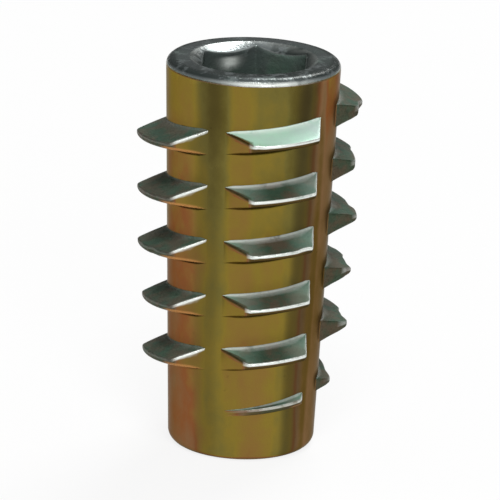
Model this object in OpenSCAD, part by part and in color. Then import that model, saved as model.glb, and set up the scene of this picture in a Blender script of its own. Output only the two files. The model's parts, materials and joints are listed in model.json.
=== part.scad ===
// Hexagon-drive threaded insert for wood, one zinc die casting.
//
// Frame: millimetres, +Z up. The origin is the centre of the bottom (leading) face, +Z runs
// along the axis to the driven end, and -Y points through the middle of the front column of
// blades. Column angles are counted from -Y towards +X, which is also the way the knife
// thread climbs (right-hand).

/* [Body] */
// Length from the bottom face to the top face
body_length = 25; // [24:0.5:30]
// Diameter of the wall at the top face
top_d = 10.9; // [10.5:0.1:11.5]
// Diameter of the wall at the bottom face
bottom_d = 9.2; // [9:0.1:10.4]
// Radius of the rounded edge around the top face
top_edge_r = 0.5; // [0.2:0.1:0.6]
// Radius of the rounded edge around the bottom face
bottom_edge_r = 0.7; // [0.1:0.1:1]

/* [Drive socket] */
// Width of the hexagon across its flats
hex_width = 6.35; // [6:0.05:6.5]
// Depth of the hexagon below the top face
hex_depth = 6; // [4:0.5:8]
// Angle from the front column to a corner of the hexagon
hex_turn = 39; // [0:1:59]
// Diameter of the countersunk mouth
mouth_d = 8; // [7.8:0.1:8.6]
// Full angle of the countersink
mouth_angle = 120; // [90:5:130]

/* [Machine thread bore] */
// Diameter of the bore, the minor diameter of the machine thread
bore_d = 5.11; // [4.98:0.01:5.26]
// Diameter of the 45 degree chamfer at both ends of the bore
bore_mouth_d = 6.3; // [5.6:0.1:6.3]

/* [Knife thread] */
// Rise of the thread in one turn
pitch = 3.52; // [3.3:0.02:3.7]
// Height of the top blade of the front column, at its middle
first_blade_z = 21.12; // [20.5:0.02:21.4]
// How far the cutting edge stands out from the wall
blade_height = 1.62; // [1:0.02:2]
// Thickness of the cutting edge
edge_thickness = 0.36; // [0.2:0.02:0.5]
// Rise of the top flank from the cutting edge in to the wall
top_flank_rise = 0.57; // [0.3:0.01:0.8]
// Fall of the lower flank from the cutting edge in to the wall
lower_flank_fall = 0.47; // [0.3:0.01:0.8]
// Turn over which the thread grows from nothing to its full height
growth_angle = 210; // [150:10:300]

/* [Blade columns] */
// Angle of each column of blades: front, right, back, left
column_angles = [0, 91, 181, 273]; // [0:1:359]
// Angle that a blade covers where it meets the wall
root_span = 67; // [60:1:72]
// Angle that a blade covers at its cutting edge
edge_span = 37; // [30:1:45]
// Extra angle by which each column's blades run on towards the next column
extra_reach = [0, 0, 0, 5]; // [0:1:8]
// Angle by which each column's blades start earlier at the wall
early_root = [2.5, 0, 0, 0]; // [0:0.5:5]
// Angle by which each column's cutting edges start later
late_edge = [2, 0, 0, 0]; // [0:0.5:5]
// Extra height of the upper blades of each column
extra_height = [0, 0.1, 0, 0.25]; // [0:0.05:0.3]
// Height above which blades have their column's extra height
tall_above_z = 12.5; // [0:0.5:25]

/* [Hidden] */
$fn = 96;
past = 0.2;                          // how far a cutter runs past the face it opens
root_overlap = 0.5;                  // how far a blade starts inside the wall
edge_steps = 6;                      // cones that make up one rounded edge
turns = 5;                           // whole turns from the top blades down to the first
thread_start = -root_span / 2;       // angle at which the thread begins, in the front column
thread_end = 240;                    // angle at which the top turn ends
casting_colour = [0.52, 0.44, 0.18];

function wall_r(z) = (bottom_d + (top_d - bottom_d) * z / body_length) / 2;
function height_share(travel) = min(1, travel / growth_angle);
function polar(r, angle) = r * [cos(angle), sin(angle)];

// Tapered plug with both end edges rounded
module tapered_body() {
    bottom_centre = [wall_r(bottom_edge_r) - bottom_edge_r, bottom_edge_r];
    top_z = body_length - top_edge_r;
    top_centre = [wall_r(top_z) - top_edge_r, top_z];
    bottom_arc = [for (i = [0:edge_steps])
        bottom_centre + polar(bottom_edge_r, 90 * i / edge_steps - 90)];
    top_arc = [for (i = [0:edge_steps])
        top_centre + polar(top_edge_r, 90 * i / edge_steps)];
    rotate_extrude()
        polygon(concat([[0, 0]], bottom_arc, top_arc, [[0, body_length]]));
}

// Ring with the section of one blade, lying flat, its cutting edge at radius r + reach
module blade_ring(r, reach) {
    half = edge_thickness / 2;
    depth_share = (reach + root_overlap) / blade_height;
    rotate_extrude()
        polygon([
            [r - root_overlap, half + top_flank_rise * depth_share],
            [r + reach, half],
            [r + reach, -half],
            [r - root_overlap, -half - lower_flank_fall * depth_share]
        ]);
}

// Plan of one blade pointing along +X: narrow at the cutting edge, wide at the wall
module blade_plan(r, height, early, late, extra) {
    root_low = polar(r, -root_span / 2 - early);
    root_high = polar(r, root_span / 2 + extra);
    edge_low = polar(r + height, -edge_span / 2 + late);
    edge_high = polar(r + height, edge_span / 2 + extra);
    run = 0.6;                       // share by which both end faces run on past root and edge
    polygon([
        root_low + run * (root_low - edge_low),
        edge_low + run * (edge_low - root_low),
        edge_high + run * (edge_high - root_high),
        root_high + run * (root_high - edge_high)
    ]);
}

// One blade: the ring leans by the thread's lead angle, so that it follows the helix, and
// sits off the axis where the thread is still growing, so that its edge climbs from
// share_low to share_high of the full height
module blade(angle, z, height, share_low, share_high, early, late, extra) {
    r = wall_r(z);
    lead = atan(pitch / (2 * PI * (r + height / 2)));
    reach = height * (share_low + share_high) / 2;
    shift = height * (share_high - share_low) / (2 * sin(root_span / 2));
    band = 2 * (edge_thickness + top_flank_rise + lower_flank_fall) + pitch / 2;
    translate([0, 0, z])
        rotate([0, 0, angle - 90])
            intersection() {
                rotate([lead, 0, 0])
                    translate([0, shift, 0])
                        blade_ring(r, reach);
                translate([0, 0, -band / 2])
                    linear_extrude(band)
                        blade_plan(r, height, early, late, extra);
            }
}

// The knife thread: one start, broken into four columns of blades
module knife_thread() {
    for (column = [0:3], turn = [0:turns]) {
        angle = column_angles[column];
        z = first_blade_z + pitch * (angle / 360 - turn);
        travel = angle - thread_start + 360 * (turns - turn);
        if (travel < thread_end - thread_start + 360 * turns)
            blade(
                angle,
                z,
                blade_height + (z > tall_above_z ? extra_height[column] : 0),
                height_share(travel - root_span / 2),
                height_share(travel + root_span / 2),
                early_root[column],
                late_edge[column],
                extra_reach[column]
            );
    }
}

// Countersunk mouth and hexagon for the driver
module drive_socket() {
    hex_corner_d = hex_width / cos(30);
    cone_r = mouth_d / 2 + past * tan(mouth_angle / 2);
    cone_depth = cone_r / tan(mouth_angle / 2);
    translate([0, 0, body_length - hex_depth])
        rotate([0, 0, hex_turn - 90])
            cylinder(d = hex_corner_d, h = hex_depth + past, $fn = 6);
    translate([0, 0, body_length + past - cone_depth])
        cylinder(r1 = 0, r2 = cone_r, h = cone_depth);
}

// Through bore for the machine thread, chamfered at both ends
module thread_bore() {
    floor_z = body_length - hex_depth;
    chamfer = (bore_mouth_d - bore_d) / 2;
    translate([0, 0, -past])
        cylinder(d = bore_d, h = floor_z + 2 * past);
    translate([0, 0, -past])
        cylinder(d1 = bore_mouth_d + 2 * past, d2 = bore_d, h = chamfer + past);
    translate([0, 0, floor_z - chamfer])
        cylinder(d1 = bore_d, d2 = bore_mouth_d, h = chamfer);
}

module insert() {
    color(casting_colour)
        difference() {
            union() {
                tapered_body();
                knife_thread();
            }
            drive_socket();
            thread_bore();
        }
}

insert();
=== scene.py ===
# %% [markdown]
# # A flush, hexagon-drive threaded insert
# The real thing is one small zinc die casting, 25 mm long: a tapered plug with a coarse knife
# thread outside that bites into wood, a hexagon socket to drive it by and a machine thread
# through the middle. The casting is dipped in yellow chromate, which leaves the wall olive gold
# with red and violet clouds and leaves the blades a silvery green.
#
# It is built here as one closed skin. Three flat patterns share the same lines round the axis:
# the knife-threaded wall, the tapped bore, and the two ends with the socket between them. The
# first two are wrapped into place by geometry nodes, the third is turned like a lathe part, and
# the three are welded edge to edge. The CAD model keeps the sizes, and this skin stands for it.

# %% Load the frame
import json
import math

import bmesh
import bpy
from mathutils import Matrix, Vector


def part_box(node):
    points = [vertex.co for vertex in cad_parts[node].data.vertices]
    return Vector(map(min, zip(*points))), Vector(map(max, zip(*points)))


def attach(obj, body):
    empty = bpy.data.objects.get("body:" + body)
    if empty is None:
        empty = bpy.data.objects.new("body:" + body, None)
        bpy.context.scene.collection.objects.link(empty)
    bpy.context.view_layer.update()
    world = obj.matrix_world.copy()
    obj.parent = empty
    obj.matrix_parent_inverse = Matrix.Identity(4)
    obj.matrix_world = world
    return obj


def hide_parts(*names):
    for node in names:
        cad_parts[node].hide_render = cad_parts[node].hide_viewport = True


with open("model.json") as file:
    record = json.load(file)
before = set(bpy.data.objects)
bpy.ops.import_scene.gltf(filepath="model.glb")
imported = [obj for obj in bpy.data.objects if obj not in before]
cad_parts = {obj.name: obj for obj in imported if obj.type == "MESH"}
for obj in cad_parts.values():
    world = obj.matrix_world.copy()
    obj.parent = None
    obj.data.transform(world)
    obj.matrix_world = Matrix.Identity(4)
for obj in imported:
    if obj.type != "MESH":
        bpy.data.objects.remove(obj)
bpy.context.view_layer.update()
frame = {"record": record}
MM = 0.001
low_corner, high_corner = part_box("insert")
length = high_corner[2] - low_corner[2]
print("insert length in mm:", round(length / MM, 3))

# %% [markdown]
# ## Sizes of the casting
# The length and the bore come from the frame. The other sizes are the ones the casting is
# drawn with, in metres through the factor MM, and everything below is worked out from them.

# %% Sizes of the casting
bore_mount = frame["record"]["mounts"][0]
bore_r = bore_mount["dims"]["r_mm"] * MM
wall_bottom_r = 4.6 * MM
wall_top_r = 5.45 * MM
top_edge_r = 0.5 * MM
bottom_edge_r = 0.7 * MM
hex_width = 6.35 * MM
hex_depth = 6 * MM
hex_turn = 39
hex_corner_r = 0.15 * MM
half_side = math.radians(30)  # half the turn between two corners of the hexagon
mouth_r = 4 * MM
mouth_slope = math.tan(math.radians(30))
bore_mouth_r = 3.15 * MM
bore_top = length - hex_depth


def wall_radius(z):
    """Radius of the tapered wall at height z."""
    return wall_bottom_r + (wall_top_r - wall_bottom_r) * z / length


print("wall diameter at the ends in mm:", round(2 * wall_radius(0) / MM, 2),
      round(2 * wall_radius(length) / MM, 2))

# %% [markdown]
# ## Sizes of the knife thread
# The thread is one right-hand start, cast in four columns of separate blades so that the die
# can open. A blade is a trapezium seen from above: wide at the wall, narrow at its cutting
# edge. The first turn grows out of the wall, as every thread that has to start itself does.
# Angles are in degrees from the middle of the front column, the way the thread climbs. Four
# entries in a row belong to the front, right, back and left column. A blade's ends are given
# from its middle: root, edge, edge and root. The front blades start with a longer slant, the
# left ones run on a little further and their upper blades stand out further. The side columns
# carry painted shade on their flanks. In the front column only the middles of the lower blades
# do, where the blade above would shade them, and the top one does not. The crest highlight says
# how bright a column's crests are painted, and the shade above and below says how dark its two
# flanks are painted.

# %% Sizes of the knife thread
pitch = 3.52 * MM
turns_above_first = 5
lowest_blade_z = 21.12 * MM - turns_above_first * pitch
blade_height = 1.6 * MM
edge_thickness = 0.36 * MM
top_flank_rise = 0.57 * MM
lower_flank_fall = 0.47 * MM
upper_edge_round = 0.12 * MM
lower_edge_round = 0.24 * MM
corner_round = 0.3 * MM
upper_fillet = 0.16 * MM
lower_fillet = 0.3 * MM
growth_angle = 210
column_angles = (0, 91, 181, 273)
blade_ends = ((-36, -16.5, 18.5, 33.5), (-33.5, -18.5, 18.5, 33.5),
              (-33.5, -18.5, 18.5, 33.5), (-33.5, -18.5, 23.5, 38.5))
extra_height = (0, 0.1 * MM, 0, 0.25 * MM)
tall_above_z = 12.5 * MM
thread_start = -33.5
thread_end = 240 + 360 * turns_above_first
# painted highlight along each column's crests, and painted shade on its upper and lower flanks
crest_highlight = (1, 0.35, 0.7, 0.1)
shade_above = (1, 0.98, 0.5, 0.95)
shade_below = (0, 0.9, 0.3, 0)
print("blade rows per column:", turns_above_first + 1)

# %% [markdown]
# ## Lines round the axis
# All three patterns are cut on the same set of upright lines, so that their edges meet point
# to point. The lines crowd together where the shape turns: at both corners of every blade and
# at the six corners of the hexagon. Cosine spacing does that between any two corners.

# %% Lines round the axis
END_LINES = 8
EDGE_LINES = 20
GAP_LINES = 5


def cosine_steps(start, stop, count):
    """Angles from start up to, but without, stop, crowded at both ends."""
    shares = [(1 - math.cos(math.pi * i / count)) / 2 for i in range(count)]
    return [start + (stop - start) * share for share in shares]


def axis_lines():
    """One turn of lines: (angle, angle from the middle of its column, column)."""
    lines = []
    for column, middle in enumerate(column_angles):
        following = (column + 1) % 4
        gap_end = column_angles[following] + 360 * (following == 0) + blade_ends[following][0]
        corners = (*blade_ends[column], gap_end - middle)
        for start, stop, count in zip(corners, corners[1:],
                                      (END_LINES, EDGE_LINES, END_LINES, GAP_LINES)):
            lines += [(middle + a, a, column) for a in cosine_steps(start, stop, count)]
    corner_turn = math.degrees(0.5 * hex_corner_r / (hex_width / 2 / math.cos(half_side)))
    for corner in range(hex_turn, hex_turn + 360, 60):
        for step in (-1, -0.5, 0, 0.5, 1):
            angle = corner + step * corner_turn
            angle -= 360 * (angle >= 360 + blade_ends[0][0])
            nearest = min(lines, key=lambda line: abs(line[0] - angle))
            lines.append((angle, angle - nearest[0] + nearest[1], nearest[2]))
    return sorted(lines)


lines = axis_lines()
print("lines round the axis:", len(lines))

# %% [markdown]
# ## Two finishes
# The whole casting wears the chromate film. Only the tapped bore differs, because a tap cuts
# its thread through bare metal before the dip. The two are named here, so that the geometry
# trees can hand them out, and their nodes are drawn further down.

# %% Two finishes
chromate_film = bpy.data.materials.new("chromate_film")
tapped_metal = bpy.data.materials.new("tapped_metal")
finishes = [chromate_film, tapped_metal]
print("finishes:", [finish.name for finish in finishes])

# %% [markdown]
# ## A way to write sums in a node tree
# A geometry or shader tree holds one small node for every sum. Wiring them one by one hides
# the rule that they follow, so a socket is wrapped in a class whose + - * / add the node: the
# rule can then be read as a formula. The same class serves both kinds of tree.

# %% Sums in a node tree


class Field:
    """A number that changes over a surface: one output socket of a node tree."""

    def __init__(self, socket):
        self.socket = socket
        self.tree = socket.id_data

    def math(self, operation, *others, first=None):
        made = self.tree.nodes.new("ShaderNodeMath")
        made.operation = operation
        values = (self, *others) if first is None else (first, self)
        for slot, value in zip(made.inputs, values):
            plug(value, slot)
        return Field(made.outputs[0])

    def held(self, low, high):
        return self.math("MAXIMUM", low).math("MINIMUM", high)

    def __add__(self, other):
        return self.math("ADD", other)

    def __sub__(self, other):
        return self.math("SUBTRACT", other)

    def __rsub__(self, other):
        return self.math("SUBTRACT", first=other)

    def __mul__(self, other):
        return self.math("MULTIPLY", other)

    def __truediv__(self, other):
        return self.math("DIVIDE", other)

    __radd__ = __add__
    __rmul__ = __mul__


def plug(value, slot):
    """Gives an input socket a field or a plain value."""
    if isinstance(value, Field):
        slot.id_data.links.new(value.socket, slot)
    else:
        slot.default_value = value


def add_node(tree, kind, inputs=None, **settings):
    """A new node with its settings and its inputs, by name or by number."""
    made = tree.nodes.new(kind)
    for name, value in settings.items():
        setattr(made, name, value)
    for key, value in (inputs or {}).items():
        plug(value, made.inputs[key])
    return made


def new_geometry_tree(name, sizes):
    """A geometry tree, its input node and the fields of its named sizes."""
    tree = bpy.data.node_groups.new(name, "GeometryNodeTree")
    tree.interface.new_socket("Pattern", in_out="INPUT", socket_type="NodeSocketGeometry")
    for size in sizes:
        tree.interface.new_socket(size, in_out="INPUT", socket_type="NodeSocketFloat")
    tree.interface.new_socket("Finish", in_out="INPUT", socket_type="NodeSocketMaterial")
    tree.interface.new_socket("Skin", in_out="OUTPUT", socket_type="NodeSocketGeometry")
    given = tree.nodes.new("NodeGroupInput")
    return tree, given, {size: Field(given.outputs[size]) for size in sizes}


def named(tree, name):
    """The field of a named attribute."""
    node = add_node(tree, "GeometryNodeInputNamedAttribute", {"Name": name}, data_type="FLOAT")
    return Field(node.outputs["Attribute"])


# %% [markdown]
# ## Wrapping a pattern
# Both threads end the same way. Each point has an angle, a radius and a height. Heights past
# the two ends are held at the ends, which squeezes the spare turns onto a single ring, and
# Merge by Distance welds that ring and every turn to the next. Then the tree sets the finish.

# %% Wrapping a pattern
WELD = 0.002 * MM


def wrap(tree, given, angle, radius, height, kept):
    """Ends a tree: places the points, keeps some fields as attributes, welds, sets the finish."""
    turn = angle.math("RADIANS")
    place = add_node(tree, "ShaderNodeCombineXYZ", {
        "X": radius * turn.math("SINE"),
        "Y": radius * turn.math("COSINE") * -1,
        "Z": height,
    })
    shape = given.outputs["Pattern"]
    for name, field in kept.items():
        store = add_node(tree, "GeometryNodeStoreNamedAttribute", {"Name": name},
                         data_type="FLOAT", domain="POINT")
        tree.links.new(shape, store.inputs["Geometry"])
        plug(field, store.inputs["Value"])
        shape = store.outputs["Geometry"]
    for kind, inputs in (
        ("GeometryNodeSetPosition", {"Position": Field(place.outputs[0])}),
        ("GeometryNodeMergeByDistance", {"Distance": WELD}),
        ("GeometryNodeRealizeInstances", {}),
        ("GeometryNodeSetMaterial", {"Material": Field(given.outputs["Finish"])}),
    ):
        step = add_node(tree, kind, inputs)
        tree.links.new(shape, step.inputs["Geometry"])
        shape = step.outputs["Geometry"]
    tree.links.new(shape, tree.nodes.new("NodeGroupOutput").inputs["Skin"])


def placed(name, data):
    """A new object, linked into the scene."""
    piece = bpy.data.objects.new(name, data)
    bpy.context.collection.objects.link(piece)
    return piece


def wrapped(name, pattern, tree, values):
    """Runs a tree on a pattern, with its inputs by name, and gives back the plain mesh."""
    piece = placed(name, pattern)
    modifier = piece.modifiers.new(name, "NODES")
    modifier.node_group = tree
    for item in tree.interface.items_tree:
        if item.in_out == "INPUT" and item.name in values:
            modifier[item.identifier] = values[item.name]
    evaluated = piece.evaluated_get(bpy.context.evaluated_depsgraph_get())
    piece.data = bpy.data.meshes.new_from_object(evaluated)
    piece.modifiers.clear()
    print(name, "faces:", len(piece.data.polygons))
    return piece


def sheet_mesh(name, columns, rows):
    """A flat grid of points; each column and each row is a dict of attribute values."""
    mesh = bpy.data.meshes.new(name)
    tall = len(rows)
    points = [(i, j, 0) for i in range(len(columns)) for j in range(tall)]
    faces = [
        (i * tall + j, (i + 1) * tall + j, (i + 1) * tall + j + 1, i * tall + j + 1)
        for i in range(len(columns) - 1) for j in range(tall - 1)
    ]
    mesh.from_pydata(points, [], faces)
    for key in {**columns[0], **rows[0]}:
        layer = mesh.attributes.new(key, "FLOAT", "POINT")
        layer.data.foreach_set("value", [
            column[key] if key in column else row[key] for column in columns for row in rows
        ])
    return mesh


# %% [markdown]
# ## The flat pattern of the knife-threaded wall
# The pattern is one strip, a pitch high, that winds round the plug from below its bottom edge
# to above its top edge. Across the strip a row has a side (1 above the blade, -1 below), a
# zone and a share of that zone. From the middle outwards the zones are: 0 the flat of the
# cutting edge, 1 its rounded corner, 2 the flank, 3 the fillet, 4 the bare wall.
#
# Blades also get knocked about in the bin. A dent is cut into the crest, so it only needs to
# be known per column: how deep the crest is worn at that angle of the thread.

# %% Pattern of the knife-threaded wall
ZONE_SHARES = ((0.45, 0.8, 0.93, 1), *([i / count for i in range(1, count + 1)]
                                       for count in (6, 4, 4, 3)))
DENTS = (  # turn of the thread counted from the lowest, angle, half width in degrees, depth in mm
    (5, 68, 16, 0.42), (4, 79, 18, 0.37), (3, 98, 18, 0.18), (3, 88, 5, 0.28),
    (2, 84, 10, 0.24), (2, 66, 9, 0.35), (2, 107, 5, 0.18), (1, 85, 9, 0.25), (1, 68, 6, 0.20),
    (0, 92, 24, 0.36), (5, -17, 5, 0.12), (3, 14, 4, 0.10), (2, 282, 4, 0.12),
)


def worn_at(angle):
    """How deep the dents cut the crest at an angle along the thread: flat with soft sides."""
    deepest = 0
    for turn, middle, half_width, depth in DENTS:
        inside = max(0, 1 - abs(angle - 360 * turn - middle) / half_width)
        share = min(1, 2 * inside)
        deepest = max(deepest, depth * MM * share * share * (3 - 2 * share))
    return deepest


def section_rows():
    """Rows across the strip, from its lower edge to its upper edge."""
    outward = [(0, 0.0)]
    for zone, shares in enumerate(ZONE_SHARES):
        outward += [(zone, share) for share in shares]
    lower = [{"side": -1, "zone": z, "share": s} for z, s in reversed(outward)]
    upper = [{"side": 1, "zone": z, "share": s} for z, s in outward[1:]]
    return lower + upper


def middle_z(turn, column):
    """Height of the middle of a blade."""
    return lowest_blade_z + pitch * (turn + column_angles[column] / 360)


def shaded_share(turn, column, from_middle):
    """1 everywhere but in the front column, where only the middle of a lower blade gets painted shade,
    as if shaded by the blade above.
    """
    if column:
        return 1
    return (turn < turns_above_first) * max(0, min(1, 0.8 + 0.2 * (20 - abs(from_middle + 1)) / 14))


def blade_end(column, from_middle):
    """Where a blade ends, at the wall and at its edge, on the side that the angle is on."""
    low_root, low_edge, high_edge, high_root = blade_ends[column]
    if from_middle > 0:
        return {"root_end": high_root, "edge_end": high_edge}
    return {"root_end": -low_root, "edge_end": -low_edge}


def thread_columns(strip_pitch, height_at_zero, low, high):
    """Columns along a strip that starts below the height low and ends above the height high."""
    first = math.floor((low - height_at_zero) / strip_pitch - 1)
    last = math.ceil((high - height_at_zero) / strip_pitch + 1)
    return [
        {"angle": angle + 360 * turn, "from_middle": from_middle, **blade_end(column, from_middle),
         "taller": extra_height[column] * (middle_z(turn, column) > tall_above_z),
         "wear_and_rim_highlight": worn_at(angle + 360 * turn), "crest_highlight": crest_highlight[column],
         "shade_above": shade_above[column] * shaded_share(turn, column, from_middle),
         "shade_below": shade_below[column]}
        for turn in range(first, last + 1) for angle, from_middle, column in lines
    ]


wall_columns = thread_columns(pitch, lowest_blade_z, bottom_edge_r, length - top_edge_r)
wall_pattern = sheet_mesh("wall_pattern", wall_columns, section_rows())
print("pattern points:", len(wall_pattern.vertices))

# %% [markdown]
# ## The knife thread as a rule
# One tree raises the blades. For each point it works out how high a blade may stand there: no
# higher than the thread has grown, and no further out than the drafted end face, which is a
# straight line seen from above. The section is then drawn with true arcs: round at the cutting
# edge, hollow at the root. Where no blade stands, the zones shrink to nothing and are welded.

# %% The knife thread as a rule
wall_sizes = {
    "Pitch": pitch, "Lowest Blade": lowest_blade_z, "Bottom Radius": wall_bottom_r,
    "Taper": (wall_top_r - wall_bottom_r) / length, "Blade Height": blade_height,
    "Edge Thickness": edge_thickness, "Top Rise": top_flank_rise, "Lower Fall": lower_flank_fall,
    "Upper Round": upper_edge_round, "Lower Round": lower_edge_round,
    "Corner Round": corner_round, "Upper Fillet": upper_fillet, "Lower Fillet": lower_fillet,
    "Growth Angle": growth_angle, "Thread Start": thread_start, "Thread End": thread_end,
    "Low Ring": bottom_edge_r, "High Ring": length - top_edge_r,
}


def choose(zone, number, inside, outside):
    """inside where the zone is this number, outside elsewhere."""
    here = zone.math("COMPARE", number, 0.5)
    return outside + (inside - outside) * here


def ramp(value, low, high):
    """0 below low, 1 above high, a straight rise between."""
    return ((value - low) / (high - low)).held(0, 1)


def end_face_height(radius, tall, from_middle, root_end, edge_end):
    """Height over the wall of the straight line from a blade's root to the end of its edge."""
    root_turn, edge_turn = root_end.math("RADIANS"), edge_end.math("RADIANS")
    here = from_middle.math("ABSOLUTE").math("RADIANS")
    tip = radius + tall
    root_x, root_y = radius * root_turn.math("COSINE"), radius * root_turn.math("SINE")
    run_x = tip * edge_turn.math("COSINE") - root_x
    run_y = tip * edge_turn.math("SINE") - root_y
    across = root_x * run_y - root_y * run_x
    return across / (here.math("COSINE") * run_y - here.math("SINE") * run_x) - radius


print("knife thread sizes:", len(wall_sizes))

# %% [markdown]
# ## Masks on the blades
# The tree also keeps the masks that the finish reads: where the film is thin, where a painted
# highlight or a painted dark line lies, where a flank is matt or carries painted shade, and
# where an orange film lies under a blade with a painted highlight on it. Along counts
# the zones outwards from the middle of the cutting edge, so that 1.5 is half way over the
# rounded corner, 2 to 3 is the flank and 3 to 4 the fillet.

# %% Masks on the blades


def thread_masks(tree, zone, share, fall, from_middle, blade):
    """Each mask as a field; fall is 1 above the blade and 0 below it."""
    cap, grown = blade["cap"], blade["grown"]
    along = zone + share
    standing = blade["raised"].math("GREATER_THAN", 1e-6)
    crest = ramp(cap / blade["highest"], 0.80, 0.96) * ramp(cap, 0.02 * MM, 0.25 * MM)
    upper_crest = fall * crest * (1 - ramp(along, 1.5, 2.0))
    lower_crest = (1 - fall) * crest * (1 - ramp(along, 1.8, 2.4))
    end, trailing = 1 - crest, from_middle.math("GREATER_THAN", 0)
    below_edge = blade["edge_start"] * (1 - share) / MM * (1 - zone.math("MINIMUM", 1))
    upper_edge = fall * (1 - ramp(below_edge, 0.03, 0.12)) * (1 - ramp(along, 1.7, 2.1))
    # the painted highlight on a column's crests, weaker where the thread is still growing
    highlight_share = named(tree, "crest_highlight") * (0.3 + ramp(grown, 0.05, 0.5) * 0.7)
    into_arc = ramp(along, 1.0, 1.5)
    above = fall * into_arc
    root_glint = fall * ramp(along, 2.8, 3.1) * (1 - ramp(along, 3.8, 4.1))
    off_middle = from_middle.math("ABSOLUTE")
    shade_below = named(tree, "shade_below")
    # an orange film under a blade near its ends, with a painted highlight on it
    near_root = (1 - fall) * ramp(along, 0.9, 1.3) * (1 - ramp(along, 3.0, 3.5))
    near_end = ramp(off_middle, 16, 21) * (1 - ramp(off_middle, 32, 40))
    # crests without painted highlight get painted shade
    unlit_crest = crest * (1 - highlight_share) * (1 - ramp(along, 1.8, 2.4))
    flanks = above * named(tree, "shade_above") + (1 - above) * shade_below
    # the finish reads these: a painted highlight, a painted dark line, painted shade on the flanks and
    # the orange film with its painted highlight
    return {
        "thin_film": standing * fall * crest.math("MAXIMUM", into_arc),
        "painted_highlight": standing * (upper_crest * highlight_share + end * trailing * upper_edge
                              + root_glint * highlight_share * 0.5).math("MINIMUM", 1),
        "shade_line": standing * (lower_crest + upper_crest * (1 - highlight_share)
                            + end * (1 - trailing) * upper_edge * highlight_share),
        "matt": standing * fall * ramp(along, 1.6, 2.2),
        "painted_shade": standing * flanks.math("MAXIMUM", unlit_crest),
        "pooled_and_highlight": near_root * near_end * (1 - highlight_share - shade_below).math("MAXIMUM", 0)
                  * cap.math("GREATER_THAN", 0.02 * MM),
    }


# %% [markdown]
# ## Raising the blades
# With those rules at hand, the tree itself is a list of lengths and heights: s runs across the
# strip from the middle of the edge, h rises from the wall, and each zone gets its own pair.

# %% Raise the blades


def knife_thread_tree():
    tree, given, size = new_geometry_tree("raise_blades", wall_sizes)
    angle, zone, share, side, wear_and_rim_highlight, from_middle = (
        named(tree, name) for name in ("angle", "zone", "share", "side", "wear_and_rim_highlight", "from_middle"))
    helix_z = size["Lowest Blade"] + size["Pitch"] * angle / 360
    radius = size["Bottom Radius"] + size["Taper"] * helix_z
    travel = angle - size["Thread Start"]
    grown = (travel / size["Growth Angle"]).held(0, 1)
    grown = grown * angle.math("LESS_THAN", size["Thread End"])
    tall = size["Blade Height"] + named(tree, "taller")
    point = tall * grown
    face = end_face_height(radius, tall, from_middle, named(tree, "root_end"),
                           named(tree, "edge_end"))
    cap = (point - wear_and_rim_highlight).math("SMOOTH_MIN", face, size["Corner Round"]).math("MAXIMUM", 0)

    fall = side.math("GREATER_THAN", 0)
    slope = (size["Top Rise"] * fall + size["Lower Fall"] * (1 - fall)) / size["Blade Height"]
    bend = math.pi / 2 - slope.math("ARCTANGENT")
    set_back = (bend / 2).math("TANGENT")
    half = size["Edge Thickness"] / 2
    corner, root_line = half + (point - cap) * slope, half + point * slope
    edge_arc = (size["Upper Round"] * fall + size["Lower Round"] * (1 - fall))
    edge_arc = edge_arc.math("MINIMUM", cap * 0.45)
    root_arc = size["Upper Fillet"] * fall + size["Lower Fillet"] * (1 - fall)
    root_arc = root_arc.math("MINIMUM", cap * 0.45)
    edge_start = corner - edge_arc * set_back
    wall_start = root_line + root_arc * set_back

    edge_turn, root_turn = bend * share, bend * (1 - share)
    edge_s = edge_start + edge_arc * edge_turn.math("SINE")
    edge_h = cap - edge_arc * (1 - edge_turn.math("COSINE"))
    root_s = wall_start - root_arc * root_turn.math("SINE")
    root_h = root_arc * (1 - root_turn.math("COSINE"))
    flank_from_s = edge_start + edge_arc * bend.math("SINE")
    flank_from_h = cap - edge_arc * (1 - bend.math("COSINE"))
    flank_to_s = wall_start - root_arc * bend.math("SINE")
    flank_to_h = root_arc * (1 - bend.math("COSINE"))
    across = choose(zone, 4, wall_start + (size["Pitch"] / 2 - wall_start) * share,
             choose(zone, 3, root_s,
             choose(zone, 2, flank_from_s + (flank_to_s - flank_from_s) * share,
             choose(zone, 1, edge_s, edge_start * share))))
    raised = choose(zone, 4, cap * 0,
             choose(zone, 3, root_h,
             choose(zone, 2, flank_from_h + (flank_to_h - flank_from_h) * share,
             choose(zone, 1, edge_h, cap))))
    height = (helix_z + side * across).held(size["Low Ring"], size["High Ring"])
    outward = size["Bottom Radius"] + size["Taper"] * height + raised
    kept = thread_masks(tree, zone, share, fall, from_middle, {
        "cap": cap, "highest": point - wear_and_rim_highlight, "raised": raised, "grown": grown,
        "edge_start": edge_start})
    wrap(tree, given, angle, outward, height, kept)
    return tree


wall_skin = wrapped("wall_skin", wall_pattern, knife_thread_tree(),
                    {**wall_sizes, "Finish": chromate_film})

# %% [markdown]
# ## The tapped bore
# The machine thread is the same idea on a finer strip, wound inside the bore. Its section is
# a sharp V with a flat at the crest and a narrower flat at the root. A cone opens each end for
# the screw, so a point lies on the thread or on the cone, whichever has cut deeper.

# %% The tapped bore
screw_pitch = 1.27 * MM
CREST_HALF, ROOT_HALF = 1 / 8, 1 / 16
bore_sizes = {
    "Pitch": screw_pitch, "Bore Radius": bore_r, "Root Radius": bore_mouth_r - 0.01 * MM,
    "Mouth Radius": bore_mouth_r, "Low Ring": 0.0, "High Ring": bore_top,
}


def screw_rows():
    """Rows across one turn of the machine thread: where they lie and how deep, as shares."""
    soft = 0.03
    outward = (0, CREST_HALF - soft, CREST_HALF + soft, 0.5 - ROOT_HALF - soft,
               0.5 - ROOT_HALF + soft, 0.5)
    flank = 0.5 - ROOT_HALF - CREST_HALF
    rows = [{"across": a, "depth": min(1, max(0, (a - CREST_HALF) / flank))} for a in outward]
    mirrored = [{"across": -row["across"], "depth": row["depth"]} for row in rows[:0:-1]]
    return mirrored + rows[1:]


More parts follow.
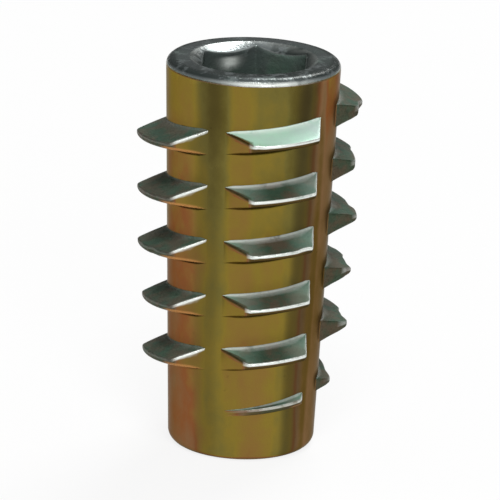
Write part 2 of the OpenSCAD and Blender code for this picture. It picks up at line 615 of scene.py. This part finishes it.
def tapped_bore_tree():
    tree, given, size = new_geometry_tree("cut_screw_thread", bore_sizes)
    angle = named(tree, "angle")
    height = (size["Pitch"] * (angle / 360 + named(tree, "across"))).held(
        size["Low Ring"], size["High Ring"])
    deep = size["Bore Radius"] + (size["Root Radius"] - size["Bore Radius"]) * named(tree, "depth")
    from_end = (height - size["Low Ring"]).math("MINIMUM", size["High Ring"] - height)
    radius = deep.math("MAXIMUM", size["Mouth Radius"] - from_end)
    wrap(tree, given, angle, radius, height, {})
    return tree


bore_columns = thread_columns(screw_pitch, 0, 0, bore_top)
bore_skin = wrapped("bore_skin", sheet_mesh("bore_pattern", bore_columns, screw_rows()),
                    tapped_bore_tree(), {**bore_sizes, "Finish": tapped_metal})

# %% [markdown]
# ## The two ends and the socket
# What is left is turned: rings of points from the upper edge of the wall over the rounded rim,
# across the flat, down the countersink and the hexagon to the bore, and a shorter run at the
# bottom. A ring's radius may change with the angle, which is how a lathe part gets a hexagon.
# The corners of the hexagon are small arcs, as any cast or broached socket has.

# %% Rings of the two ends
RIM_TURNS = (0, 3, 8, 14, 22, 31, 41, 52, 64, 77, 90)
HIGHLIGHT_SIDE = -10  # direction in which the rim's painted highlight is strongest


def masks(thin_film, painted_highlight=0, shade_line=0, painted_shade=0, bare=0):
    """The masks of one ring: a number, or a rule that gives one for an angle."""
    return {"thin_film": thin_film, "painted_highlight": painted_highlight, "shade_line": shade_line, "painted_shade": painted_shade,
            "bare": bare}


def hexagon_radius(angle):
    """Distance from the axis to the hexagon's wall in a direction."""
    from_corner = math.radians((angle - hex_turn + 30) % 60 - 30)
    centre = (hex_width / 2 - hex_corner_r) / math.cos(half_side)
    reach = math.atan2(hex_corner_r / 2, centre + hex_corner_r * math.cos(half_side))
    if abs(from_corner) < reach:
        inside = hex_corner_r ** 2 - (centre * math.sin(from_corner)) ** 2
        return centre * math.cos(from_corner) + math.sqrt(inside)
    return hex_width / 2 / math.cos(half_side - abs(from_corner))


def cone_height(radius):
    """Height of the countersink at a radius."""
    return length - (mouth_r - radius) * mouth_slope


def toward(angle, middle, sharp):
    """1 in the direction middle, less to both sides of it, 0 behind."""
    return max(0, math.cos(math.radians(angle - middle))) ** sharp


def rim(edge_r, centre_z, up, thin, shade_line):
    """Rings of a rounded edge, from the wall to the flat end; the painted dark line is given per ring.
    """
    centre_r = wall_radius(centre_z) - edge_r
    rings = []
    for degrees, line_share in zip(RIM_TURNS, shade_line):
        turn = math.radians(degrees)
        ring_r, ring_z = centre_r + edge_r * math.cos(turn), centre_z + up * edge_r * math.sin(turn)
        # the rim carries a painted highlight, strongest toward the side set at the top of this cell,
        # and painted shade that deepens toward the flat and is a little lighter on that side
        wear_and_rim_highlight = thin * max(0, min(1, (degrees - 2) / 6, (42 - degrees) / 18))
        inner = thin * min(1, degrees / 35)
        rings.append((lambda angle, r=ring_r, z=ring_z: (r, z), masks(
            thin * min(1, degrees / 10),
            lambda angle, wear_and_rim_highlight=wear_and_rim_highlight: wear_and_rim_highlight * min(1, 1.3 * toward(angle, HIGHLIGHT_SIDE, 10)),
            line_share,
            lambda angle, inner=inner: inner * (0.97 - 0.15 * toward(angle, HIGHLIGHT_SIDE, 10)),
            thin)))
    return rings


def flat(from_r, to_r, z, count, thin):
    """Rings across a flat end, without the first."""
    radii = [from_r + (to_r - from_r) * (i + 1) / count for i in range(count)]
    # the flat ring is darkened by painted shade, a little deeper toward the rim's highlight side
    return [(lambda angle, r=r: (r, z), masks(
        thin, painted_shade=lambda angle: thin * (0.88 + 0.12 * toward(angle, HIGHLIGHT_SIDE, 1)), bare=thin))
        for r in radii]


def socket_rings():
    """Rings from the countersink's edge down the hexagon to the bore."""
    soft = 0.05 * MM
    # the countersink carries a painted highlight toward bright_side and painted shade elsewhere; the
    # hexagon walls carry a painted glint near their top toward spot, and painted shade that deepens
    # down the socket and is lighter toward green_side
    bright_side, green_side, spot = 183, 129, 189
    rings = []

    def cone(out, painted_highlight):
        rings.append((lambda angle: (out(angle), cone_height(out(angle))), masks(
            1, lambda angle: painted_highlight * (0.3 + 0.7 * toward(angle, bright_side, 6)),
            painted_shade=lambda angle: 1 - 0.6 * toward(angle, bright_side, 6), bare=1)))

    cone(lambda angle: mouth_r - soft, 0.4)
    cone(lambda angle: hexagon_radius(angle) + 0.12 * MM, 0)
    cone(lambda angle: hexagon_radius(angle) + soft, 0.25)

    def down(angle, share):
        top = cone_height(hexagon_radius(angle)) - soft
        return hexagon_radius(angle), top + (bore_top - top) * share

    for share in (0, 0.03, 0.07, 0.13, 0.22, 0.32, 0.45, 0.6, 0.8, 0.97, 1):
        # painted shade deepens down the hexagon walls, and a painted glint sits near their top
        near = max(0, 1 - abs(share - 0.1) / 0.05)
        rings.append((lambda angle, share=share: down(angle, share), masks(
            1 - 0.4 * share,
            lambda angle, near=near: 0.9 * min(1, 2 * near) * toward(angle, spot, 60),
            painted_shade=lambda angle, share=share: 0.88 - 0.5 * (1 - share) * toward(angle, green_side, 14),
            bare=lambda angle: 0.9 - 0.6 * toward(angle, green_side, 14))))
    return rings + [(lambda angle: (bore_mouth_r, bore_top), masks(0.6, painted_shade=0.5))]


top_flat_r = wall_radius(length - top_edge_r) - top_edge_r
bottom_flat_r = wall_radius(bottom_edge_r) - bottom_edge_r
lip = 0.04 * MM
# the top rim has a painted dark line where it meets the wall; the bottom rim darkens with painted shade
# toward its underside
top_rings = (rim(top_edge_r, length - top_edge_r, 1, 1, (0, 0.95, 0.6, *[0] * 8))
             + flat(top_flat_r, mouth_r + lip, length, 4, 1) + socket_rings())
bottom_rings = (rim(bottom_edge_r, bottom_edge_r, -1, 0, (*[0] * 6, 0.3, 0.6, 0.9, 0.9, 0.9))
                + flat(bottom_flat_r, bore_mouth_r, 0, 4, 0.2))


# %% [markdown]
# ## Turning the ends
# The rings become points on the shared upright lines, with quads between one ring and the next.
# Each ring also carries its masks, and a mask may change with the angle, as the radius may.

# %% Turn the ends


def turned_mesh(name, rings, finish):
    """A mesh object with one ring of points, and its masks, for each entry of rings."""
    count = len(lines)
    points = []
    for ring, _ in rings:
        for angle, *_ in lines:
            radius, z = ring(angle)
            turn = math.radians(angle)
            points.append((radius * math.sin(turn), -radius * math.cos(turn), z))
    faces = [
        (k * count + i, k * count + (i + 1) % count,
         (k + 1) * count + (i + 1) % count, (k + 1) * count + i)
        for k in range(len(rings) - 1) for i in range(count)
    ]
    mesh = bpy.data.meshes.new(name)
    mesh.from_pydata(points, [], faces)
    for mask in rings[0][1]:
        layer = mesh.attributes.new(mask, "FLOAT", "POINT")
        layer.data.foreach_set("value", [
            given[mask](angle) if callable(given[mask]) else given[mask]
            for _, given in rings for angle, *_ in lines])
    mesh.materials.append(finish)
    piece = placed(name, mesh)
    print(name, "faces:", len(faces))
    return piece


top_end = turned_mesh("top_end", top_rings, chromate_film)
bottom_end = turned_mesh("bottom_end", bottom_rings, chromate_film)

# %% [markdown]
# ## One closed skin
# The real insert is one casting, so its model is one closed mesh. The four skins end on the
# same points and are welded there, the normals are turned outward, and only true corners,
# such as the foot of the hexagon, are kept sharp. Weighted normals keep the flanks flat
# right up to their rounded edges.

# %% Weld the skins
CORNER = math.radians(40)


def welded(name, pieces):
    """One object from several, welded where they meet, with smooth shading between corners."""
    body = bmesh.new()
    for piece in pieces:
        before = len(body.faces)
        body.from_mesh(piece.data)
        body.faces.ensure_lookup_table()
        finish = finishes.index(piece.data.materials[-1])
        for face in body.faces[before:]:
            face.material_index = finish
        bpy.data.objects.remove(piece)
    bmesh.ops.remove_doubles(body, verts=body.verts, dist=WELD)
    bmesh.ops.recalc_face_normals(body, faces=body.faces)
    open_edges = sum(not edge.is_manifold for edge in body.edges)
    print("open edges:", open_edges, " volume in mm3:", round(body.calc_volume() / MM**3, 1))
    mesh = bpy.data.meshes.new(name)
    body.to_mesh(mesh)
    body.free()
    for finish in finishes:
        mesh.materials.append(finish)
    mesh.shade_smooth()
    mesh.set_sharp_from_angle(angle=CORNER)
    piece = placed(name, mesh)
    weigh = piece.modifiers.new("weigh_normals", "WEIGHTED_NORMAL")
    weigh.keep_sharp = True
    return piece


insert = welded("threaded_insert", [wall_skin, bore_skin, top_end, bottom_end])
print("triangles:", sum(len(face.vertices) - 2 for face in insert.data.polygons))

# %% [markdown]
# ## The colour of the film
# Yellow chromate is a clear film that colours by its thickness, as oil on water does. Thin, it
# is a bluish silver; then it turns mint, olive, gold, orange, mauve and a dull violet. So one
# number, the thickness, is enough to drive every colour on the casting, through one ramp.

# %% Film colour group
NUMBER, COLOUR = "NodeSocketFloat", "NodeSocketColor"
FILM_STEPS = (
    (0.00, (0.50, 0.56, 0.57)),  # bare, bluish silver
    (0.12, (0.48, 0.76, 0.60)),  # mint
    (0.20, (0.20, 0.30, 0.20)),  # green
    (0.29, (0.104, 0.080, 0.018)),  # dark olive
    (0.37, (0.170, 0.140, 0.034)),  # olive
    (0.46, (0.24, 0.172, 0.028)),  # gold
    (0.55, (0.24, 0.14, 0.035)),  # orange
    (0.62, (0.235, 0.086, 0.030)),  # red orange
    (0.70, (0.22, 0.126, 0.060)),  # pinkish brown
    (0.82, (0.125, 0.075, 0.020)),  # mauve brown
    (1.00, (0.075, 0.050, 0.018)),  # dull violet grey
)


def new_shader_group(name, numbers, outputs):
    """A shader group with named number inputs and (name, socket type) outputs."""
    group = bpy.data.node_groups.new(name, "ShaderNodeTree")
    for number in numbers:
        group.interface.new_socket(number, in_out="INPUT", socket_type=NUMBER)
    for output, kind in outputs.items():
        group.interface.new_socket(output, in_out="OUTPUT", socket_type=kind)
    given = group.nodes.new("NodeGroupInput")
    return group, {name: Field(given.outputs[name]) for name in numbers}, \
        group.nodes.new("NodeGroupOutput")


def film_colour_group():
    group, given, out = new_shader_group("film_colour", ["Thickness"], {"Colour": COLOUR})
    scale = add_node(group, "ShaderNodeValToRGB", {"Fac": given["Thickness"]})
    steps = scale.color_ramp.elements
    while len(steps) < len(FILM_STEPS):
        steps.new(1)
    for step, (place, colour) in zip(steps, FILM_STEPS):
        step.position, step.color = place, (*colour, 1)
    plug(Field(scale.outputs["Color"]), out.inputs["Colour"])
    return group


film_colour = film_colour_group()
print("film colours:", len(FILM_STEPS))

# %% [markdown]
# ## Where the film is thick
# The dip runs off the hanging part and leaves upright streaks, and it breaks into clouds. A
# streak is a direction from the axis, a half width and how far it shifts the thickness. The
# cosine between that direction and the point's own is the same all the way up, so no seam
# shows at the back. Noise, stretched upright, bends the streaks and breaks them up. A few
# upright streaks are also darkened, and these are kept apart from the thickness.

# %% Film thickness group
STREAKS = (  # direction and half width in degrees, shift of the thickness at the top and bottom
    (-80, 22, 0.13, 0.24), (-51, 9, -0.05, 0.06), (-41, 7, -0.06, -0.04), (-26, 8, 0.12, -0.02),
    (-12, 9, 0.0, 0.06), (13, 6, -0.08, -0.04), (31, 7, 0.18, 0.18), (50, 18, 0.26, 0.27),
    (74, 12, 0.10, 0.10), (96, 9, 0.36, 0.20), (119, 10, 0.18, 0.10), (140, 7, 0.50, 0.30),
    (163, 12, 0.16, 0.08), (186, 9, 0.40, 0.20), (207, 12, 0.08, 0.16), (230, 8, 0.34, 0.12),
)
DARK_STREAKS = (  # direction and half width in degrees, share at the top and bottom
    (22, 8, 0.78, 0.62), (-49, 8, 0.36, 0.30), (104, 9, 0.5, 0.3), (152, 7, 0.4, 0.5),
    (215, 9, 0.3, 0.5),
)


def object_point(tree):
    return Field(tree.nodes.new("ShaderNodeTexCoord").outputs["Object"])


def vector_math(tree, operation, *values):
    made = tree.nodes.new("ShaderNodeVectorMath")
    made.operation = operation
    for slot, value in zip(made.inputs, values):
        plug(value, slot)
    return made


def noise(tree, point, per_mm, detail=2.0, rough=0.5, stretch=(1, 1, 1), seed=0):
    """Noise from -0.5 to 0.5, so many swings per millimetre."""
    scaled = vector_math(tree, "MULTIPLY", point, tuple(per_mm / MM * part for part in stretch))
    made = add_node(tree, "ShaderNodeTexNoise", {"W": seed}, noise_dimensions="4D")
    for name, value in (("Vector", Field(scaled.outputs["Vector"])), ("Scale", 1),
                        ("Detail", detail), ("Roughness", rough)):
        plug(value, made.inputs[name])
    return Field(made.outputs["Fac"]) - 0.5


def smooth_between(value, low, high):
    """0 below low, 1 above high, a smooth rise between."""
    made = add_node(value.tree, "ShaderNodeMapRange", {
        "Value": value, "From Min": low, "From Max": high}, interpolation_type="SMOOTHSTEP")
    return Field(made.outputs["Result"])


def film_thickness_group():
    group, given, out = new_shader_group(
        "film_thickness", ["Base", "Streaks", "Clouds", "Drip"],
        {"Thickness": NUMBER, "Dark Streaks": NUMBER})
    point = object_point(group)
    outward = vector_math(group, "NORMALIZE", Field(
        vector_math(group, "MULTIPLY", point, (1, 1, 0)).outputs["Vector"]))
    waver = [noise(group, point, 0.22, detail=2, stretch=(1, 1, 0.5), seed=seed) * 0.16
             for seed in (1, 2)]
    waver = add_node(group, "ShaderNodeCombineXYZ", {"X": waver[0], "Y": waver[1]})
    bent = vector_math(group, "NORMALIZE", Field(vector_math(
        group, "ADD", Field(outward.outputs["Vector"]), Field(waver.outputs[0])).outputs["Vector"]))
    low = 1 - Field(add_node(group, "ShaderNodeSeparateXYZ", {"Vector": point}).outputs["Z"]) / length
    total = given["Base"] + smooth_between(low, 0.02, 0.25) * given["Drip"]

    def streak(direction, half_width):
        turn = math.radians(direction)
        along = vector_math(group, "DOT_PRODUCT", Field(bent.outputs["Vector"]),
                            (math.sin(turn), -math.cos(turn), 0))
        return smooth_between(Field(along.outputs["Value"]),
                              math.cos(math.radians(half_width * 1.5)), 1.0)

    def all_streaks(entries):
        total = 0
        for direction, half_width, at_top, at_bottom in entries:
            total = streak(direction, half_width) * (low * (at_bottom - at_top) + at_top) + total
        return total

    plug(all_streaks(DARK_STREAKS), out.inputs["Dark Streaks"])
    total = total + all_streaks(STREAKS) * given["Streaks"]
    clouds = noise(group, point, 0.16, detail=3, stretch=(1, 1, 0.55)) * 0.75
    mottle = noise(group, point, 0.8, detail=5, rough=0.6, stretch=(1, 1, 0.7)) * 0.5
    total = total + (clouds + mottle) * given["Clouds"]
    plug(total.held(0, 1), out.inputs["Thickness"])
    return group


film_thickness = film_thickness_group()
print("streaks round the wall:", len(STREAKS))

# %% [markdown]
# ## The skin of a die casting
# A die casting is smooth but not flat: a fine grain from the die, faint flow waves, and a
# few pits. Both finishes share this group, each with its own strength. It gives a height for
# a bump node and a roughness to add, so that grain and gloss break up together.

# %% Cast skin group


def cast_skin_group():
    group, given, out = new_shader_group(
        "cast_skin", ["Grain", "Waves", "Roughness"], {"Height": NUMBER, "Roughness": NUMBER})
    point = object_point(group)
    grain = noise(group, point, 7, detail=3)
    waves = noise(group, point, 0.45, detail=2, stretch=(1, 1, 0.5))
    pits = smooth_between(noise(group, point, 2.2, detail=1), 0.2, 0.3)
    height = grain * given["Grain"] + waves * given["Waves"] - pits * given["Grain"] * 1.5
    smudges = noise(group, point, 0.5, detail=4, rough=0.65)
    plug(height, out.inputs["Height"])
    plug(given["Roughness"] + smudges * 0.22 + grain * 0.06 + pits * 0.1, out.inputs["Roughness"])
    return group


cast_skin = cast_skin_group()
print("cast skin nodes:", len(cast_skin.nodes))


def use_group(tree, group, numbers):
    """Places a group with its numbers and gives back its outputs by name."""
    used = tree.nodes.new("ShaderNodeGroup")
    used.node_tree = group
    for name, value in numbers.items():
        plug(value, used.inputs[name])
    return {output.name: Field(output) for output in used.outputs}


def start_finish(material, height, bump_mm):
    """A material's own shader, with a bump on its normal."""
    tree = material.node_tree
    shader = tree.nodes["Principled BSDF"]
    bump = add_node(tree, "ShaderNodeBump", {"Height": height, "Distance": bump_mm * MM})
    plug(Field(bump.outputs["Normal"]), shader.inputs["Normal"])
    return shader


def blend_numbers(share, low, high):
    return low + (high - low) * share


def mix_colour(tree, share, colour, other):
    """The first colour where share is 0, the other where it is 1."""
    mixed = add_node(tree, "ShaderNodeMix", data_type="RGBA")
    for slot, value in ((0, share), (6, colour), (7, other)):
        plug(value, mixed.inputs[slot])
    return Field(mixed.outputs[2])


# %% [markdown]
# ## The chromate film over the casting
# On the wall the film is thick and gold, darker in a few streaks. On the upper flanks of the
# blades it has run thin and stays silver green, except where painted shade darkens it to a
# pitted, mottled green and brown. The end face and the socket are bare, and painted shade makes
# them nearly black. Under the blades the film lies orange with a painted highlight on it, and
# sharp edges carry painted highlights.

# %% Chromate film finish
STREAK_BROWN = (0.040, 0.030, 0.014, 1)
SHADE_GREEN = (0.036, 0.072, 0.047, 1)
SHADE_BROWN = (0.078, 0.064, 0.043, 1)
BARE_SHADE = (0.015, 0.022, 0.020, 1)
POOLED_ORANGE_HIGHLIGHT = (0.50, 0.23, 0.07, 1)
HIGHLIGHT_WHITE = (0.84, 0.88, 0.84, 1)
SHADE_LINE_FILM = 0.95  # thickness of the film under the painted dark lines
BUMP_MM = 0.02


def make_chromate_film(material):
    material.use_nodes = True
    tree = material.node_tree

    def attribute(name):
        node = add_node(tree, "ShaderNodeAttribute", attribute_name=name)
        return Field(node.outputs["Fac"])

    point = object_point(tree)
    gold = use_group(tree, film_thickness, {
        "Base": 0.37, "Streaks": 1.0, "Clouds": 0.40, "Drip": 0.08})
    silver = use_group(tree, film_thickness, {
        "Base": 0.10 - attribute("bare") * 0.10, "Streaks": 0.0, "Clouds": 0.3, "Drip": 0.0})
    thickness = gold["Thickness"].math("SMOOTH_MAX", 0.29, 0.08)
    thickness = blend_numbers(attribute("thin_film"), thickness, silver["Thickness"])
    thickness = blend_numbers(attribute("shade_line"), thickness, SHADE_LINE_FILM)
    film = use_group(tree, film_colour, {"Thickness": thickness})
    skin = use_group(tree, cast_skin, {"Grain": 0.35, "Waves": 1.0, "Roughness": 0.32})
    # a few upright streaks darken the gold film
    dark_streak = gold["Dark Streaks"] * (1 - attribute("thin_film"))
    film_now = mix_colour(tree, dark_streak, film["Colour"], STREAK_BROWN)
    # painted highlight, broken up by noise
    painted_highlight = attribute("painted_highlight") * smooth_between(noise(tree, point, 1.3, detail=3), -0.3, 0.0)
    blotches = smooth_between(noise(tree, point, 0.8, detail=4, rough=0.6), -0.12, 0.12)
    pooled_and_highlight, matt, bare = attribute("pooled_and_highlight"), attribute("matt"), attribute("bare")
    # random gaps thin the painted shade on the bare ends and socket
    shade_gaps = smooth_between(noise(tree, point, 1.1, detail=5, rough=0.65), 0.0, 0.16)
    painted_shade = attribute("painted_shade") * (1 - shade_gaps * bare * 0.3)
    # painted shade in mottled dark green and brown, nearly black on bare film
    shade_colour = mix_colour(tree, blotches, SHADE_GREEN, SHADE_BROWN)
    shade_colour = mix_colour(tree, bare, shade_colour, BARE_SHADE)
    colour = mix_colour(tree, painted_shade, film_now, shade_colour)
    # the orange film with its painted highlight
    colour = mix_colour(tree, pooled_and_highlight, colour, POOLED_ORANGE_HIGHLIGHT)
    colour = mix_colour(tree, painted_highlight, colour, HIGHLIGHT_WHITE)
    pitting = noise(tree, point, 1.3, detail=4, rough=0.6) * painted_shade * (12 - bare * 6)
    shader = start_finish(material, skin["Height"] + pitting, BUMP_MM)
    plug(colour, shader.inputs["Base Color"])
    plug(skin["Roughness"] + matt * 0.26 + painted_shade * 0.12 - bare * 0.20, shader.inputs["Roughness"])
    metallic = (1 - matt * 0.95 - painted_highlight * (bare * 0.2 + 0.4) - pooled_and_highlight * 0.8
                - painted_shade * (bare * 0.45 + 0.4))
    plug(metallic.math("MAXIMUM", 0), shader.inputs["Metallic"])
    shader.inputs["Specular Tint"].default_value = (0.52, 0.50, 0.45, 1)
    shader.inputs["Specular IOR Level"].default_value = 0.25


make_chromate_film(chromate_film)
print("chromate film nodes:", len(chromate_film.node_tree.nodes))


# %% [markdown]
# ## The tapped metal
# The thread in the bore wears a thinner and more even film, and it carries no painted highlight.

# %% Tapped metal finish


def make_tapped_metal(material):
    material.use_nodes = True
    tree = material.node_tree
    film = use_group(tree, film_thickness, {
        "Base": 0.34, "Streaks": 0.3, "Clouds": 0.4, "Drip": 0.0})
    colour = use_group(tree, film_colour, {"Thickness": film["Thickness"]})
    skin = use_group(tree, cast_skin, {"Grain": 0.5, "Waves": 0.3, "Roughness": 0.34})
    shader = start_finish(material, skin["Height"], BUMP_MM)
    plug(colour["Colour"], shader.inputs["Base Color"])
    plug(skin["Roughness"], shader.inputs["Roughness"])
    shader.inputs["Metallic"].default_value = 1


make_tapped_metal(tapped_metal)
print("tapped metal nodes:", len(tapped_metal.node_tree.nodes))

# %% [markdown]
# ## The bench
# The insert stands on a pale round table. The table is wide enough to fill the view and to
# show in the wall's lower reflections, and its edge lets the darker room show beyond it. It
# lies a hair below the casting, so that the two faces don't share a plane. It glows only to the
# camera and in reflections, which keeps it white and adds no light to the room.

# %% The bench
TABLE_R, TABLE_SIDES, TABLE_Z = 400 * MM, 96, -0.01 * MM
PAPER_GREY, PAPER_GLOW = 0.84, 0.85
table_mesh = bpy.data.meshes.new("table")
table_mesh.from_pydata(
    [(TABLE_R * math.cos(2 * math.pi * i / TABLE_SIDES),
      TABLE_R * math.sin(2 * math.pi * i / TABLE_SIDES), TABLE_Z) for i in range(TABLE_SIDES)],
    [], [tuple(range(TABLE_SIDES))])
table = placed("table", table_mesh)

table_finish = bpy.data.materials.new("table_paper")
table_finish.use_nodes = True
paper = table_finish.node_tree
paper_shader = paper.nodes["Principled BSDF"]
grey = PAPER_GREY + noise(paper, object_point(paper), 0.8, detail=4) * 0.02
shade = add_node(paper, "ShaderNodeCombineColor", {"Red": grey, "Green": grey, "Blue": grey})
plug(Field(shade.outputs["Color"]), paper_shader.inputs["Base Color"])
paper_shader.inputs["Roughness"].default_value = 0.9
paper_shader.inputs["Specular IOR Level"].default_value = 0.1
shown = Field(paper.nodes.new("ShaderNodeLightPath").outputs["Is Camera Ray"])
shown = shown + Field(paper.nodes["Light Path"].outputs["Is Glossy Ray"])
glow = add_node(paper, "ShaderNodeEmission", {"Color": (1, 1, 1, 1), "Strength": 1.0})
blend = add_node(paper, "ShaderNodeMixShader", {"Fac": shown.math("MINIMUM", 1) * PAPER_GLOW})
paper.links.new(paper_shader.outputs[0], blend.inputs[1])
paper.links.new(glow.outputs[0], blend.inputs[2])
paper.links.new(blend.outputs[0], paper.nodes["Material Output"].inputs["Surface"])
table_mesh.materials.append(table_finish)
print("table width in mm:", round(2 * TABLE_R / MM))

# %% [markdown]
# ## Light
# A glossy part shows its room. This room is dim at eye level and brighter overhead. A big soft
# lamp above and behind draws a bright line along every rounded edge, one above and in front
# lights the sloping upper flanks, and a weak one at the front fills the wall.

# %% Light
LOW_ROOM, HIGH_ROOM = 0.14, 0.35
world = bpy.data.worlds.new("room")
bpy.context.scene.world = world
world.use_nodes = True
room = world.node_tree
up = add_node(room, "ShaderNodeSeparateXYZ", {
    "Vector": Field(room.nodes.new("ShaderNodeTexCoord").outputs["Generated"])})
rise = smooth_between(Field(up.outputs["Z"]), math.sin(math.radians(34)),
                      math.sin(math.radians(62)))
room.nodes["Background"].inputs["Color"].default_value = (1, 1, 1, 1)
plug(blend_numbers(rise, LOW_ROOM, HIGH_ROOM), room.nodes["Background"].inputs["Strength"])

LAMPS = (  # name, place, width and energy
    ("back_lamp", (0.55, 0.58, 0.93), 0.62, 9),
    ("top_lamp", (-0.22, -0.66, 1.00), 0.50, 7),
    ("front_lamp", (-0.05, -1.15, 0.44), 0.50, 3.6),
)
for name, place, size, energy in LAMPS:
    lamp_data = bpy.data.lights.new(name, "AREA")
    lamp_data.shape, lamp_data.size, lamp_data.energy = "DISK", size, energy
    lamp = placed(name, lamp_data)
    lamp.location = place
    aim = Vector((0, 0, length / 2)) - lamp.location
    lamp.rotation_euler = aim.to_track_quat("-Z", "Y").to_euler()
print("lamps:", [name for name, *_ in LAMPS])

# %% [markdown]
# ## The camera
# A long lens from just above eye level, square to the front but for a small turn to the left.
# The camera is held a little crooked, which leans the insert by two degrees.

# %% The camera
VIEW_TURN, VIEW_RISE, VIEW_DISTANCE, VIEW_LEAN = -19, 17, 12.2 * length, 2.03
camera_data = bpy.data.cameras.new("camera")
camera_data.lens = 350
camera_data.shift_x = 0.0058
camera_data.clip_start = 0.01
camera = placed("camera", camera_data)
turn, rise_angle = math.radians(VIEW_TURN), math.radians(VIEW_RISE)
direction = Vector((math.sin(turn) * math.cos(rise_angle),
                    -math.cos(turn) * math.cos(rise_angle), math.sin(rise_angle)))
camera.location = Vector((0, 0, length / 2)) + direction * VIEW_DISTANCE
look = direction.to_track_quat("Z", "Y").to_matrix()
camera.rotation_euler = (look @ Matrix.Rotation(math.radians(VIEW_LEAN), 3, "Z")).to_euler()
bpy.context.scene.camera = camera
bpy.context.scene.view_settings.view_transform = "Standard"
print("camera distance in mm:", round(VIEW_DISTANCE / MM))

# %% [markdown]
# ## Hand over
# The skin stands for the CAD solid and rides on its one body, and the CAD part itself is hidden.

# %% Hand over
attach(insert, "root")
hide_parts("insert")
